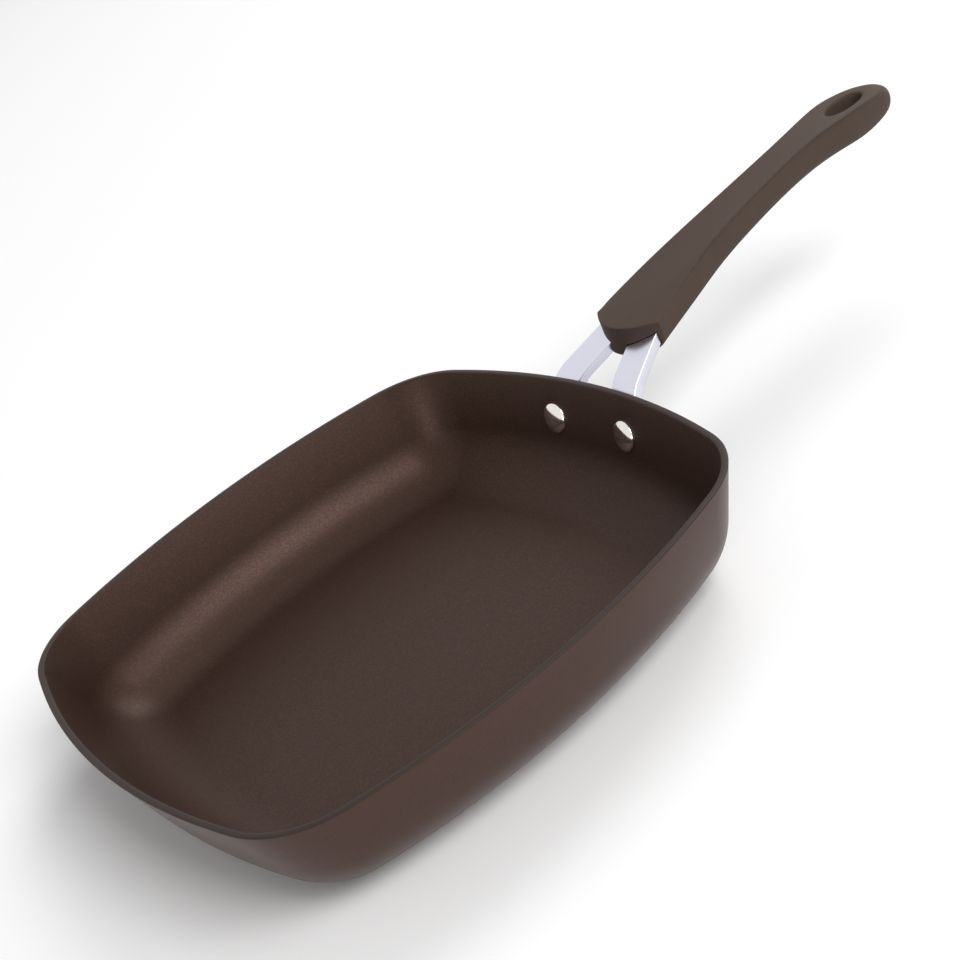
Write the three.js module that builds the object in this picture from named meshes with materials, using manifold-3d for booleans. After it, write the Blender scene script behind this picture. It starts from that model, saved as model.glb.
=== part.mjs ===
// Square non-stick pan with a long handle: a drawn aluminium vessel, a forked steel
// bracket riveted to one wall, and a moulded grip screwed to the bracket's tang.
// Millimetres, +Z up, +X along the handle. The origin is the centre of the pan's underside.
import * as THREE from "three";
import { mergeVertices } from "three/addons/utils/BufferGeometryUtils.js";
import Module from "manifold-3d";

const wasm = await Module();
wasm.setup();

// Vessel
const RIM_WIDTH = 280; // across the outside of the rim, side to side
const SIDE_BOW_RADIUS = 356; // each side of the square bows out on this radius
const CORNER_RADIUS = 46.5; // outside corner at the rim
const PAN_HEIGHT = 54;
const WALL_THICKNESS = 3;
const BASE_THICKNESS = 3.5;
const WALL_LEAN_DEG = 17.4; // the wall flares outwards from the vertical
const BOTTOM_RADIUS = 38.5; // outside, wall to base
const INNER_BOTTOM_RADIUS = 34;
const BASE_CORNER_RADIUS = 0.6; // the round bottom runs out in the flat base at a small corner
const RIM_EDGE = 0.6; // broken edge on both sides of the rim

// Rivets
const RIVET_SPACING = 51.5;
const RIVET_DEPTH = 19.5; // below the rim
const RIVET_SHANK_RADIUS = 3.2;
const RIVET_HEAD_RADIUS = 7.2;
const RIVET_HEAD_HEIGHT = 2.4;
const RIVET_TAIL_RADIUS = 5.2;
const RIVET_TAIL_HEIGHT = 2.6;

// Forked bracket
const LEG_WIDTH = 16.4;
const LEG_THICKNESS = 5.4;
const LEG_SPLAY_DEG = 16.3; // of each leg from the handle's axis
const LEG_RISE_DEG = 21; // of the legs between the wall and the grip
const TANG_RISE_DEG = 12.5; // of the tang inside the grip
const TANG_WIDTH = 16;
const TANG_REACH = 84; // from the rim to the tang's end
const BEND_DEPTH = 3.4; // of the bend at the wall, below the rim
const BEND_RADIUS = 17.5;
const MOUTH_REACH = 33; // from the rim to the bend at the grip's mouth
const MOUTH_BEND_RADIUS = 30;
const LEG_EDGE = 0.7; // broken edge along the legs

// Grip. Reaches are measured from the rim along the handle, heights from the rim's plane.
const GRIP_FRONT_REACH = 33;
const GRIP_FRONT_BULGE = 12; // the front edge bows towards the pan at its middle
const GRIP_BULGE_LENGTH = 44;
const GRIP_FRONT_HALF_WIDTH = 22.4;
const GRIP_FRONT_TOP = 16;
const GRIP_FRONT_BELLY = 1.6;
const GRIP_SHOULDER_REACH = 66;
const GRIP_SHOULDER_HALF_WIDTH = 16.2;
const GRIP_SHOULDER_TOP = 24.8;
const GRIP_SHOULDER_BELLY = 6.8;
const GRIP_NECK_REACH = 97;
const GRIP_NECK_HALF_WIDTH = 12.5;
const GRIP_NECK_TOP = 30.3;
const GRIP_NECK_BELLY = 13;
const GRIP_WAIST_REACH = 159;
const GRIP_WAIST_HALF_WIDTH = 10.3;
const GRIP_WAIST_TOP = 37.4;
const GRIP_WAIST_BELLY = 20;
const GRIP_TAIL_REACH = 200;
const GRIP_TAIL_HALF_WIDTH = 14.4;
const GRIP_TAIL_TOP = 38.7;
const GRIP_TAIL_BELLY = 18.4;
const GRIP_END_LENGTH = 31; // from the tail, its widest place, to the very end
const GRIP_END_ROUND = 21; // length of the rounded end, seen from the side
const GRIP_RIDGE_DROP = 1.6; // from the top to the widest line of the section
const GRIP_SCOOP = 1.1; // the top is dished this deep between its ridges, under the thumb
const GRIP_TOP_POWER = 5; // roundness of the section: 2 is an ellipse, more is squarer
const GRIP_BELLY_POWER_FRONT = 4.6;
const GRIP_BELLY_POWER_WAIST = 2.5;
const HANG_HOLE_LENGTH = 24;
const HANG_HOLE_WIDTH = 14.4;
const HANG_HOLE_FLARE = 1.6; // rounding of the hole's edges

// Screw that holds the grip to the tang, with its washer and the insert moulded in the grip
const SCREW_REACH = 66;
const SCREW_RADIUS = 2;
const SCREW_HEAD_RADIUS = 3.6;
const SCREW_HEAD_HEIGHT = 2;
const SCREW_SLOT_WIDTH = 1;
const SCREW_SLOT_DEPTH = 0.9;
const WASHER_RADIUS = 3.8;
const WASHER_THICKNESS = 0.8;
const INSERT_RADIUS = 3.5;
const INSERT_LENGTH = 3.6;
const SEAT_WEB = 2.6; // grip left between the tang and the washer

const FIT_GAP = 0.3; // running room kept between two pieces that touch on the real object

// Counts for the faceted surfaces
const SIDE_STEPS = 8; // half of one bowed side
const CORNER_STEPS = 8;
const ARC_STEPS = 7;
const LEG_STEPS = 24; // from the rivet to the tang
const TANG_STEPS = 10;
const GRIP_STEPS = 20; // from the front to the tail
const GRIP_END_STEPS = 8;
const GRIP_RING_STEPS = 36;
const ROUND_STEPS = 24;
const HALVINGS = 40; // of the interval, when a station curve is read

const RIM_HALF = RIM_WIDTH / 2;
const RIM_Z = PAN_HEIGHT;
const GRIP_END_REACH = GRIP_TAIL_REACH + GRIP_END_LENGTH;
const LEAN = THREE.MathUtils.degToRad(WALL_LEAN_DEG);
const SPLAY = THREE.MathUtils.degToRad(LEG_SPLAY_DEG);
const LEG_RISE = THREE.MathUtils.degToRad(LEG_RISE_DEG);
const TANG_RISE = THREE.MathUtils.degToRad(TANG_RISE_DEG);

const anodised = new THREE.MeshStandardMaterial({ color: 0x4a3a32, roughness: 0.45, metalness: 0.35 });
const steel = new THREE.MeshStandardMaterial({ color: 0xc9c9cf, roughness: 0.25, metalness: 1 });
const softTouch = new THREE.MeshStandardMaterial({ color: 0x54473f, roughness: 0.6, metalness: 0 });
const zincSteel = new THREE.MeshStandardMaterial({ color: 0xb4b6ba, roughness: 0.4, metalness: 1 });
const brass = new THREE.MeshStandardMaterial({ color: 0xb9974f, roughness: 0.35, metalness: 1 });

// Solids: rings of points skinned into a closed body, and booleans on such bodies

// Skins a stack of rings, each an array of THREE.Vector3 with the same count, and closes both ends.
// The rings run anticlockwise when seen from the side that the stack grows towards.
function skin(rings) {
  const count = rings[0].length;
  const points = rings.flat();
  const faces = [];
  for (let k = 0; k + 1 < rings.length; k++) {
    for (let i = 0; i < count; i++) {
      const next = (i + 1) % count;
      const [a, b] = [k * count + i, k * count + next];
      faces.push(a, b, b + count, a, b + count, a + count);
    }
  }
  // Each end is closed by strips across the ring, from one point to its opposite number.
  const closeEnd = (first, flip) => {
    const add = (...corners) => {
      if (new Set(corners).size < corners.length) return;
      const triangle = corners.map((corner) => first + corner);
      faces.push(...(flip ? triangle.reverse() : triangle));
    };
    for (let i = 0; i < count / 2; i++) {
      add(i, i + 1, count - 1 - i);
      add(i, count - 1 - i, (count - i) % count);
    }
  };
  closeEnd(0, true);
  closeEnd((rings.length - 1) * count, false);
  return new THREE.BufferGeometry().setFromPoints(points).setIndex(faces);
}

function toSolid(geometry) {
  const bare = geometry.clone();
  bare.deleteAttribute("normal");
  bare.deleteAttribute("uv");
  const merged = mergeVertices(bare, 1e-4);
  return new wasm.Manifold(new wasm.Mesh({
    numProp: 3,
    vertProperties: new Float32Array(merged.attributes.position.array),
    triVerts: new Uint32Array(merged.index.array),
  }));
}

function toGeometry(solid) {
  const { vertProperties, triVerts, numProp } = solid.getMesh();
  const positions = new Float32Array((vertProperties.length / numProp) * 3);
  for (let i = 0; i < positions.length / 3; i++) {
    positions.set(vertProperties.subarray(i * numProp, i * numProp + 3), i * 3);
  }
  const geometry = new THREE.BufferGeometry();
  geometry.setAttribute("position", new THREE.BufferAttribute(positions, 3));
  return geometry.setIndex([...triVerts]);
}

function subtract(solid, ...cutters) {
  return cutters.reduce((rest, cutter) => rest.subtract(cutter), solid);
}

// A lathe body about its own Z axis from [radius, z] pairs, moved by a matrix.
function turned(profile, matrix) {
  const points = profile.map(([radius, z]) => new THREE.Vector2(radius, z));
  const geometry = new THREE.LatheGeometry(points, ROUND_STEPS).rotateX(Math.PI / 2);
  return toSolid(geometry.applyMatrix4(matrix));
}

function box(width, depth, height, matrix) {
  return toSolid(new THREE.BoxGeometry(width, depth, height).applyMatrix4(matrix));
}

// Vessel: its plan outline, its wall profile and the body skinned over both

// Plan outline of the pan, inset from the rim's outside: four bowed sides joined by corner arcs.
function panOutline(inset) {
  const sideRadius = SIDE_BOW_RADIUS - inset;
  const cornerRadius = Math.max(CORNER_RADIUS - inset, BASE_CORNER_RADIUS);
  const sideCentre = RIM_HALF - SIDE_BOW_RADIUS; // on the axis, the same for every inset
  const reach = sideRadius - cornerRadius;
  // The corner's centre lies on the diagonal, one reach from each side arc's centre.
  const cornerCentre = (sideCentre + Math.sqrt(2 * reach ** 2 - sideCentre ** 2)) / 2;
  const join = Math.atan2(cornerCentre, cornerCentre - sideCentre);
  const quarter = [];
  for (let i = -SIDE_STEPS; i < SIDE_STEPS; i++) {
    const angle = (join * i) / SIDE_STEPS;
    quarter.push([sideCentre + sideRadius * Math.cos(angle), sideRadius * Math.sin(angle)]);
  }
  for (let i = 0; i < CORNER_STEPS; i++) {
    const angle = join + ((Math.PI / 2 - 2 * join) * i) / CORNER_STEPS;
    const [right, up] = [cornerRadius * Math.cos(angle), cornerRadius * Math.sin(angle)];
    quarter.push([cornerCentre + right, cornerCentre + up]);
  }
  const turns = [([x, y]) => [x, y], ([x, y]) => [-y, x], ([x, y]) => [-x, -y], ([x, y]) => [y, -x]];
  return turns.flatMap((turn) => quarter.map(turn));
}

// [inset, z] down one face of the wall, from the rim to the flat of the base.
function wallProfile(rimInset, baseZ, radius) {
  const bendTop = baseZ + radius * (1 - Math.sin(LEAN));
  const bendInset = rimInset + (RIM_Z - bendTop) * Math.tan(LEAN);
  const centreInset = bendInset + radius * Math.cos(LEAN);
  const points = [];
  for (let i = 0; i <= ARC_STEPS; i++) {
    const angle = LEAN + ((Math.PI / 2 - LEAN) * i) / ARC_STEPS;
    points.push([centreInset - radius * Math.cos(angle), baseZ + radius * (1 - Math.sin(angle))]);
  }
  return points;
}

const wallAcross = WALL_THICKNESS / Math.cos(LEAN); // the wall's thickness measured level

function panBody() {
  const outer = wallProfile(0, 0, BOTTOM_RADIUS).reverse();
  const inner = wallProfile(wallAcross, BASE_THICKNESS, INNER_BOTTOM_RADIUS);
  const rim = [
    [RIM_EDGE * Math.tan(LEAN), RIM_Z - RIM_EDGE],
    [RIM_EDGE, RIM_Z],
    [wallAcross - RIM_EDGE, RIM_Z],
    [wallAcross + RIM_EDGE * Math.tan(LEAN), RIM_Z - RIM_EDGE],
  ];
  const rings = [...outer, ...rim, ...inner].map(([inset, z]) =>
    panOutline(inset).map(([x, y]) => new THREE.Vector3(x, y, z)));
  return subtract(toSolid(skin(rings)), ...rivetHoles());
}

// Rivets: each stands square to the wall, on the strap's centre line

// How far the bowed side has fallen back from its middle, at a distance y along it.
function sideSag(y) {
  return SIDE_BOW_RADIUS - Math.sqrt(SIDE_BOW_RADIUS ** 2 - y ** 2);
}

// A frame with its origin on the wall's outer face at the rivet and its +Z pointing out of the pan.
function rivetFrame(side) {
  const y = (side * RIVET_SPACING) / 2;
  const x = RIM_HALF - RIVET_DEPTH * Math.tan(LEAN) - sideSag(y);
  const turn = Math.asin(y / SIDE_BOW_RADIUS);
  return new THREE.Matrix4()
    .makeTranslation(x, y, RIM_Z - RIVET_DEPTH)
    .multiply(new THREE.Matrix4().makeRotationZ(turn))
    .multiply(new THREE.Matrix4().makeRotationY(Math.PI / 2 + LEAN));
}

const footOuter = FIT_GAP + LEG_THICKNESS; // outer face of the bracket's foot, from the wall

function rivetHoles() {
  const radius = RIVET_SHANK_RADIUS + FIT_GAP;
  const reach = WALL_THICKNESS + footOuter;
  return [1, -1].map((side) =>
    turned([[0, -reach], [radius, -reach], [radius, 2 * reach], [0, 2 * reach]], rivetFrame(side)));
}

// Domed head inside the pan, shank through the wall and the foot, upset tail outside.
function rivet(side) {
  const headSeat = -WALL_THICKNESS - FIT_GAP;
  const tailSeat = footOuter + FIT_GAP;
  const dome = (radius, height, seat, direction) => {
    const points = [];
    for (let i = 0; i <= ARC_STEPS; i++) {
      const angle = (Math.PI / 2) * (i / ARC_STEPS);
      points.push([radius * Math.sin(angle), seat + direction * height * Math.cos(angle)]);
    }
    return points;
  };
  return turned([
    ...dome(RIVET_HEAD_RADIUS, RIVET_HEAD_HEIGHT, headSeat, -1),
    [RIVET_SHANK_RADIUS, headSeat],
    [RIVET_SHANK_RADIUS, tailSeat],
    ...dome(RIVET_TAIL_RADIUS, RIVET_TAIL_HEIGHT, tailSeat, 1).reverse(),
  ], rivetFrame(side));
}

// Forked bracket: a bent strap path, two splayed legs along it and one tang

// A path through vertices in the XZ plane with each inner vertex rounded to a radius.
function roundedPath(vertices, radii) {
  const path = [vertices[0]];
  for (let i = 1; i + 1 < vertices.length; i++) {
    const before = vertices[i - 1].clone().sub(vertices[i]).normalize();
    const after = vertices[i + 1].clone().sub(vertices[i]).normalize();
    const half = before.angleTo(after) / 2;
    const centre = before.clone().add(after).normalize();
    centre.multiplyScalar(radii[i - 1] / Math.sin(half)).add(vertices[i]);
    const start = vertices[i].clone().addScaledVector(before, radii[i - 1] / Math.tan(half)).sub(centre);
    const end = vertices[i].clone().addScaledVector(after, radii[i - 1] / Math.tan(half)).sub(centre);
    const sweep = Math.atan2(start.cross(end), start.dot(end));
    for (let k = 0; k <= ARC_STEPS; k++) {
      path.push(start.clone().rotateAround(new THREE.Vector2(), (sweep * k) / ARC_STEPS).add(centre));
    }
  }
  path.push(vertices[vertices.length - 1]);
  return path;
}

const footReach = LEG_WIDTH / 2; // of the foot's round end, past the rivet
const strapOffset = FIT_GAP + LEG_THICKNESS / 2; // of the strap's middle from the wall
const wallLineX = RIM_HALF + strapOffset / Math.cos(LEAN); // strap's middle, at the rim's height

function strapVertices() {
  const along = (from, reach, rise) =>
    new THREE.Vector2(reach, from.y + (reach - from.x) * Math.tan(rise));
  const onWall = (depth) => new THREE.Vector2(wallLineX - depth * Math.tan(LEAN), RIM_Z - depth);
  const foot = onWall(RIVET_DEPTH + strapOffset * Math.sin(LEAN) + footReach * Math.cos(LEAN));
  const bend = onWall(BEND_DEPTH);
  const mouth = along(bend, RIM_HALF + MOUTH_REACH, LEG_RISE);
  const tangEnd = along(mouth, RIM_HALF + TANG_REACH + FIT_GAP, TANG_RISE);
  return [foot, bend, mouth, tangEnd];
}

// The path runs one gap past the tang's end, where the grip's pocket ends.
const strapPath = new THREE.CurvePath();
const strapPoints = roundedPath(strapVertices(), [BEND_RADIUS, MOUTH_BEND_RADIUS]);
strapPoints.slice(1).forEach((point, i) => strapPath.add(new THREE.LineCurve(strapPoints[i], point)));
const strapLength = strapPath.getLength();

function strapAt(distance) {
  const share = THREE.MathUtils.clamp(distance / strapLength, 0, 1);
  const point = strapPath.getPointAt(share);
  const step = 0.5 / strapLength;
  const ahead = strapPath.getPointAt(Math.min(share + step, 1));
  const behind = strapPath.getPointAt(Math.max(share - step, 0));
  const tangent = ahead.sub(behind).normalize();
  return { point, normal: new THREE.Vector2(-tangent.y, tangent.x) };
}

// One ring of the strap: eight corners of a rectangle with broken edges, square to the path.
function strapRing(distance, middleY, halfWidth, grow, bow) {
  const { point, normal } = strapAt(distance);
  const half = LEG_THICKNESS / 2 + grow;
  const wide = halfWidth + grow;
  const edge = Math.min(LEG_EDGE, wide / 2);
  const corners = [
    [half, edge - wide], [half - edge, -wide], [edge - half, -wide], [-half, edge - wide],
    [-half, wide - edge], [edge - half, wide], [half - edge, wide], [half, wide - edge],
  ];
  return corners.map(([out, across]) => {
    const y = middleY + across;
    return new THREE.Vector3(point.x + out * normal.x - bow * sideSag(y), y, point.y + out * normal.y);
  });
}

const legHalfAcross = LEG_WIDTH / 2 / Math.cos(SPLAY); // half a leg's width, measured along Y
const legMiddle = (distance) => RIVET_SPACING / 2 - (distance - footReach) * Math.tan(SPLAY);
const legDistance = (middle) => footReach + (RIVET_SPACING / 2 - middle) / Math.tan(SPLAY);
const bendStart = strapPoints[0].distanceTo(strapPoints[1]);
const bendEnd = bendStart + BEND_RADIUS * (Math.PI / 2 - LEAN - LEG_RISE);

// The foot follows the bowed wall, and the bow fades out along the bend.
const footBow = (distance) => 1 - THREE.MathUtils.smoothstep(distance, bendStart, bendEnd);

function leg(side, grow) {
  const last = legDistance(TANG_WIDTH / 2 - legHalfAcross);
  const distances = [];
  for (let i = 1; i <= ARC_STEPS; i++) {
    distances.push(footReach * (1 - Math.cos((Math.PI / 2) * (i / ARC_STEPS))));
  }
  for (let i = 1; i <= LEG_STEPS; i++) {
    distances.push(footReach + ((last - footReach) * i) / LEG_STEPS);
  }
  const rings = distances.map((distance) => {
    const short = Math.max(footReach - distance, 0) / footReach;
    const halfWidth = legHalfAcross * Math.sqrt(1 - short ** 2);
    return strapRing(distance, legMiddle(distance), halfWidth, grow, footBow(distance));
  });
  const left = toSolid(skin(rings));
  return side > 0 ? left : left.mirror([0, 1, 0]);
}

function tang(grow) {
  const first = legDistance(TANG_WIDTH / 4 + legHalfAcross / 2);
  const last = strapLength - FIT_GAP + grow;
  const rings = [];
  for (let i = 0; i <= TANG_STEPS; i++) {
    const distance = first + ((last - first) * i) / TANG_STEPS;
    rings.push(strapRing(distance, 0, TANG_WIDTH / 2, grow, 0));
  }
  return toSolid(skin(rings));
}

function forkSolid(grow) {
  return leg(1, grow).add(leg(-1, grow)).add(tang(grow));
}

function handleFork() {
  const hole = screwBore(SCREW_RADIUS + FIT_GAP, -LEG_THICKNESS, LEG_THICKNESS);
  return subtract(forkSolid(0), ...rivetHoles(), hole);
}

// Grip: one lofted moulding with slots for the legs, a pocket for the tang and a hang hole

// A smooth curve of one size along the grip, through its value at each of the five stations.
function gripStations(...sizes) {
  const reaches = [
    GRIP_FRONT_REACH, GRIP_SHOULDER_REACH, GRIP_NECK_REACH, GRIP_WAIST_REACH, GRIP_TAIL_REACH,
  ];
  return new THREE.SplineCurve(reaches.map((reach, i) => new THREE.Vector2(reach, sizes[i])));
}

const gripWidths = gripStations(
  GRIP_FRONT_HALF_WIDTH, GRIP_SHOULDER_HALF_WIDTH, GRIP_NECK_HALF_WIDTH,
  GRIP_WAIST_HALF_WIDTH, GRIP_TAIL_HALF_WIDTH);
const gripTops = gripStations(
  GRIP_FRONT_TOP, GRIP_SHOULDER_TOP, GRIP_NECK_TOP, GRIP_WAIST_TOP, GRIP_TAIL_TOP);
const gripBellies = gripStations(
  GRIP_FRONT_BELLY, GRIP_SHOULDER_BELLY, GRIP_NECK_BELLY, GRIP_WAIST_BELLY, GRIP_TAIL_BELLY);

// The size that a station curve has at a reach, found by halving the interval.
function sizeAt(curve, reach) {
  let [low, high] = [0, 1];
  for (let i = 0; i < HALVINGS; i++) {
    const middle = (low + high) / 2;
    if (curve.getPoint(middle).x < reach) low = middle;
    else high = middle;
  }
  return curve.getPoint(low).y;
}

// Width, top, belly and section powers of the grip at a reach from the rim.
function gripSection(reach) {
  const held = Math.min(reach, GRIP_TAIL_REACH);
  const pastTail = Math.max(reach - GRIP_TAIL_REACH, 0) / GRIP_END_LENGTH;
  const endStart = GRIP_END_REACH - GRIP_END_ROUND;
  const pastEnd = Math.max(reach - endStart, 0) / GRIP_END_ROUND;
  const top = sizeAt(gripTops, held);
  const belly = sizeAt(gripBellies, held);
  const middle = (top + belly) / 2;
  const thick = ((top - belly) / 2) * Math.sqrt(1 - pastEnd ** 2);
  const slim = THREE.MathUtils.smoothstep(reach, GRIP_FRONT_REACH, GRIP_WAIST_REACH);
  return {
    halfWidth: sizeAt(gripWidths, held) * Math.sqrt(1 - pastTail ** 2),
    top: middle + thick,
    belly: middle - thick,
    bellyPower: THREE.MathUtils.lerp(GRIP_BELLY_POWER_FRONT, GRIP_BELLY_POWER_WAIST, slim),
    scoop: GRIP_SCOOP * 4 * slim * (1 - slim),
  };
}

// One ring of the grip. Near the grip's front it bows towards the pan.
function gripRing(reach) {
  const section = gripSection(reach);
  const ridge = Math.min(GRIP_RIDGE_DROP, (section.top - section.belly) / 2);
  const ridgeZ = section.top - ridge;
  const fade = THREE.MathUtils.clamp(1 - (reach - GRIP_FRONT_REACH) / GRIP_BULGE_LENGTH, 0, 1);
  const ring = [];
  for (let i = 0; i < GRIP_RING_STEPS; i++) {
    const angle = (2 * Math.PI * i) / GRIP_RING_STEPS;
    const upper = i <= GRIP_RING_STEPS / 2;
    const power = upper ? GRIP_TOP_POWER : section.bellyPower;
    const across = Math.cos(angle);
    const rise = Math.max(1 - Math.abs(across) ** power, 0) ** (1 / power);
    const bow = 1 - across ** 2;
    const height = upper ? ridge * rise - section.scoop * bow : (section.belly - ridgeZ) * rise;
    ring.push(new THREE.Vector3(
      RIM_HALF + reach - GRIP_FRONT_BULGE * fade * bow,
      section.halfWidth * across,
      RIM_Z + ridgeZ + height));
  }
  return ring;
}

const spread = (first, last, steps) =>
  Array.from({ length: steps + 1 }, (_, i) => first + ((last - first) * i) / steps);

// An elliptical cutter through the tail, flared at both faces as a moulded hole is.
function hangHole() {
  const reach = GRIP_TAIL_REACH;
  const { top, belly } = gripSection(reach);
  const levels = [
    [belly - HANG_HOLE_FLARE, 3 * HANG_HOLE_FLARE], [belly, HANG_HOLE_FLARE],
    [belly + HANG_HOLE_FLARE, 0], [top - HANG_HOLE_FLARE, 0],
    [top, HANG_HOLE_FLARE], [top + HANG_HOLE_FLARE, 3 * HANG_HOLE_FLARE],
  ];
  const rings = levels.map(([height, flare]) => {
    const ellipse = new THREE.EllipseCurve(
      RIM_HALF + reach, 0, HANG_HOLE_LENGTH / 2 + flare, HANG_HOLE_WIDTH / 2 + flare, 0, 2 * Math.PI);
    const outline = ellipse.getPoints(ROUND_STEPS).slice(0, -1);
    return outline.map(({ x, y }) => new THREE.Vector3(x, y, RIM_Z + height));
  });
  return toSolid(skin(rings));
}

function grip() {
  const body = spread(GRIP_FRONT_REACH, GRIP_TAIL_REACH, GRIP_STEPS);
  const end = spread(0, Math.PI / 2, GRIP_END_STEPS).slice(1, -1)
    .map((angle) => GRIP_TAIL_REACH + GRIP_END_LENGTH * Math.sin(angle));
  const outside = toSolid(skin([...body, ...end, GRIP_END_REACH - FIT_GAP].map(gripRing)));
  const headRoom = screwBore(WASHER_RADIUS + FIT_GAP, -RIM_Z, seat);
  const bore = screwBore(SCREW_RADIUS + FIT_GAP, 2 * seat, insertTop + FIT_GAP);
  const insertRoom = screwBore(INSERT_RADIUS + FIT_GAP, 0, insertTop + FIT_GAP);
  return subtract(outside, forkSolid(FIT_GAP), hangHole(), bore, headRoom, insertRoom);
}

// Screw, washer and insert, on an axis square to the tang

// A frame with its origin in the middle of the tang at the screw, +Z up out of the tang.
function screwFrame() {
  const [, , mouth] = strapVertices();
  const x = RIM_HALF + SCREW_REACH;
  const z = mouth.y + (x - mouth.x) * Math.tan(TANG_RISE);
  return new THREE.Matrix4()
    .makeTranslation(x, 0, z)
    .multiply(new THREE.Matrix4().makeRotationY(-TANG_RISE));
}

function screwBore(radius, from, to) {
  return turned([[0, from], [radius, from], [radius, to], [0, to]], screwFrame());
}

// Heights along the screw's axis, from the tang's middle
const seat = -LEG_THICKNESS / 2 - FIT_GAP - SEAT_WEB;
const washerTop = seat - FIT_GAP;
const headTop = washerTop - WASHER_THICKNESS - FIT_GAP;
const insertBottom = LEG_THICKNESS / 2 + FIT_GAP;
const insertTop = insertBottom + INSERT_LENGTH;

// Pan head with a cross slot, shank up through the tang to the top of the insert.
function fixingScrew() {
  const headBottom = headTop - SCREW_HEAD_HEIGHT;
  const body = turned([
    [0, headBottom], [SCREW_HEAD_RADIUS, headBottom], [SCREW_HEAD_RADIUS, headTop],
    [SCREW_RADIUS, headTop], [SCREW_RADIUS, insertTop], [0, insertTop],
  ], screwFrame());
  const slots = [0, Math.PI / 2].map((turn) => box(
    2 * SCREW_RADIUS, SCREW_SLOT_WIDTH, 2 * SCREW_SLOT_DEPTH,
    screwFrame()
      .multiply(new THREE.Matrix4().makeTranslation(0, 0, headBottom))
      .multiply(new THREE.Matrix4().makeRotationZ(turn))));
  return subtract(body, ...slots);
}

// A flat ring about the screw, between two heights on its axis.
function screwRing(radius, bottom, top) {
  const overrun = top - bottom;
  const hole = screwBore(SCREW_RADIUS + FIT_GAP, bottom - overrun, top + overrun);
  return subtract(screwBore(radius, bottom, top), hole);
}

// Assembly

const pan = new THREE.Group();
const piece = (name, solid, material) => {
  const mesh = new THREE.Mesh(toGeometry(solid), material);
  mesh.name = name;
  pan.add(mesh);
};
piece("pan_body", panBody(), anodised);
piece("handle_fork", handleFork(), steel);
piece("rivet_left", rivet(1), steel);
piece("rivet_right", rivet(-1), steel);
piece("grip", grip(), softTouch);
piece("fixing_screw", fixingScrew(), zincSteel);
piece("lock_washer", screwRing(WASHER_RADIUS, washerTop - WASHER_THICKNESS, washerTop), zincSteel);
piece("threaded_insert", screwRing(INSERT_RADIUS, insertBottom, insertTop), brass);

export default pan;
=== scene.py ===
import math

import bmesh
import bpy
from mathutils import Matrix, Vector


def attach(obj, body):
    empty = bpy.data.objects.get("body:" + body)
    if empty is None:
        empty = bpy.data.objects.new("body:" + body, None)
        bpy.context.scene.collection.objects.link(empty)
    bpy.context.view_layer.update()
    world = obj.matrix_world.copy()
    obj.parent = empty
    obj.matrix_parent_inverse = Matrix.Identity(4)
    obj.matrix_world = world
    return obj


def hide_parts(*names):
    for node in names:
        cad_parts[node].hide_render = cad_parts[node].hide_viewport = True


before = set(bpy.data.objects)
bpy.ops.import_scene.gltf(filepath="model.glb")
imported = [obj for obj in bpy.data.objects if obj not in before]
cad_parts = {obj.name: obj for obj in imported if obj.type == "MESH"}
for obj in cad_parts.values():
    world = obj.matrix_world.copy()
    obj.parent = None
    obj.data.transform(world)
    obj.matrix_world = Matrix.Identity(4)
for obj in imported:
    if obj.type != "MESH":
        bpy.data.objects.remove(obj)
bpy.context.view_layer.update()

MM = 0.001

# Vessel
RIM_HALF = 140 * MM
RIM_Z = 54 * MM
SIDE_BOW_RADIUS = 356 * MM
CORNER_RADIUS = 46.5 * MM
WALL_THICKNESS = 3 * MM
BASE_THICKNESS = 3.5 * MM
WALL_LEAN = math.radians(17.4)
BOTTOM_RADIUS = 38.5 * MM
INNER_BOTTOM_RADIUS = 34 * MM
BASE_MARGIN = 1 * MM  # level strip round the flat of the base, so that its shading is flat
RIM_EDGE = 0.7 * MM
RIM_NORMAL_Z = 0.5  # faces of the rim's plane have more than this, faces of the wall less
SIDE_STEPS = 26
CORNER_STEPS = 18
BOTTOM_STEPS = 18

# Rivets
RIVET_HALF_SPACING = 25.75 * MM
RIVET_DEPTH = 19.5 * MM
RIVET_SHANK_RADIUS = 3.2 * MM
RIVET_HEAD_RADIUS = 7.6 * MM
RIVET_HEAD_HEIGHT = 2.4 * MM
RIVET_TAIL_RADIUS = 5.2 * MM
RIVET_TAIL_HEIGHT = 2.6 * MM
RIVET_LIP = 0.35 * MM  # upright edge of a pressed head
RIVET_SEAT_GAP = 0.1 * MM
SEAT_GAP = 0.3 * MM
DOME_STEPS = 12

# Forked bracket
LEG_WIDTH = 16.4 * MM
LEG_THICKNESS = 5.4 * MM
LEG_SPLAY = math.radians(16.3)
LEG_RISE = math.radians(21)
TANG_RISE = math.radians(12.5)
TANG_WIDTH = 16 * MM
TANG_LENGTH = 46 * MM
TANG_END_X = RIM_HALF + 84 * MM
BEND_DEPTH = 3.4 * MM
BEND_RADIUS = 17.5 * MM
MOUTH_X = RIM_HALF + 33 * MM
MOUTH_BEND_RADIUS = 30 * MM
LEG_EDGE = 0.6 * MM
LEG_EDGE_ANGLE = math.radians(50)  # sharper edges of the strap are broken
FOOT_STEPS = 10
LEG_STEPS = 40
BEND_STEPS = 10
TANG_STEPS = 6

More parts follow.
